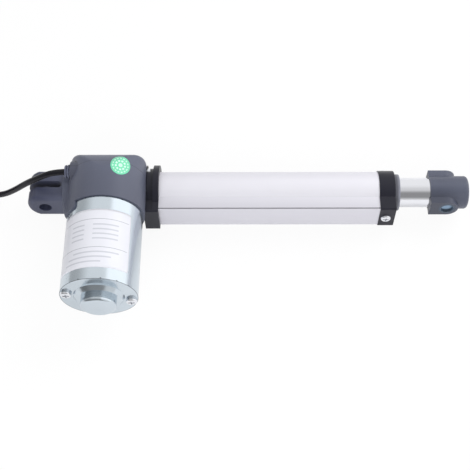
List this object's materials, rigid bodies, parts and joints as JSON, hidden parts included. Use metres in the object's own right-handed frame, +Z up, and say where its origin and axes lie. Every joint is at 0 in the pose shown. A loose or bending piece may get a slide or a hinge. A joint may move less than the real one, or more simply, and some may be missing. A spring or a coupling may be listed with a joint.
{
  "type": "electric linear actuator",
  "caption": "Parallel-pin electric linear actuator: worm-geared side motor, screw-driven chromed rod in an aluminium tube, clevis and cross-bored rod end, with a coiled lead.",
  "frame": {"origin": "middle of the rear pin hole, on the screw's axis", "axes": "+X the way the rod extends, +Y along both pins and away from the motor, +Z up with the motor's axis above the screw"},
  "size_m": [0.4822, 0.1837, 0.0713],
  "materials": {
    "clevis_grey": "satin grey cast metal",
    "gearbox_plastic": "fine-textured blue-grey glass-filled nylon",
    "black_plastic": "moulded black plastic",
    "tube_aluminium": "extruded, clear anodised",
    "plated_steel": "bright zinc plated",
    "screw_steel": "zinc plated",
    "bearing_steel": "ground",
    "spindle_steel": "rolled thread, greased",
    "core_steel": "laminations",
    "rod_chrome": "polished",
    "head_grey": "satin grey cast metal",
    "bush_steel": "blued steel",
    "nut_brass": "turned",
    "sintered_bronze": "oil-filled sinter",
    "copper": "enamelled wire and bare segments",
    "ferrite": "sintered",
    "carbon": "pressed",
    "board_brown": "laminate",
    "board_green": "circuit board",
    "switch_black": "moulded",
    "bush_plastic": "natural acetal",
    "wheel_plastic": "natural nylon",
    "seal_rubber": "moulded",
    "gland_rubber": "moulded",
    "cable_sheath": "smooth vinyl",
    "plug_plastic": "moulded"
  },
  "bodies": {
    "housing": {"rear_clevis": "clevis_grey", "gearbox_housing": "gearbox_plastic", "gearbox_cover": "gearbox_plastic", "cover_screws": "screw_steel", "worm_bush": "sintered_bronze", "tube_socket": "black_plastic", "socket_screws": "screw_steel", "outer_tube": "tube_aluminium", "tube_gasket": "seal_rubber", "end_cap": "black_plastic", "end_cap_screws": "screw_steel", "guide_bush": "bush_plastic", "wiper_seal": "seal_rubber", "bearing_outer_rings": "bearing_steel", "motor_can": "plated_steel", "motor_front_plate": "plated_steel", "motor_end_bell": "plated_steel", "motor_tie_bolts": "screw_steel", "motor_bushes": "sintered_bronze", "magnets": "ferrite", "brush_holder": "board_brown", "brushes": "carbon", "brush_springs": "bearing_steel", "switch_board": "board_green", "limit_switches": "switch_black", "cable_gland": "gland_rubber", "power_cable": "cable_sheath", "cable_coil": "cable_sheath", "cable_tail": "cable_sheath", "power_plug": "plug_plastic"},
    "rod_body": {"rod": "rod_chrome", "rod_end_head": "head_grey", "head_bush": "bush_steel", "drive_nut": "nut_brass"},
    "spindle_body": {"spindle": "spindle_steel", "spindle_guide": "bush_plastic", "spindle_spacers": "spindle_steel", "bearing_inner_rings": "bearing_steel", "bearing_balls": "bearing_steel", "worm_wheel": "wheel_plastic"},
    "rotor": {"rotor_shaft": "spindle_steel", "armature_core": "core_steel", "armature_windings": "copper", "commutator": "copper"}
  },
  "joints": [
    {"name": "motor_spin", "type": "hinge", "parent": "housing", "child": "rotor", "pos_m": [0.052, 0, 0.018], "axis": [0, -1, 0], "range_deg": [0, 283500]},
    {"name": "spindle_spin", "type": "hinge", "parent": "housing", "child": "spindle_body", "pos_m": [0, 0, 0], "axis": [-1, 0, 0], "range_deg": [0, 13500]},
    {"name": "rod_slide", "type": "slide", "parent": "housing", "child": "rod_body", "axis": [1, 0, 0], "range_m": [0, 0.15]}
  ],
  "couplings": [
    {"joint": "spindle_spin", "follows": "rod_slide", "rad_per_m": 1570.8},
    {"joint": "motor_spin", "follows": "rod_slide", "rad_per_m": 32987}
  ]
}
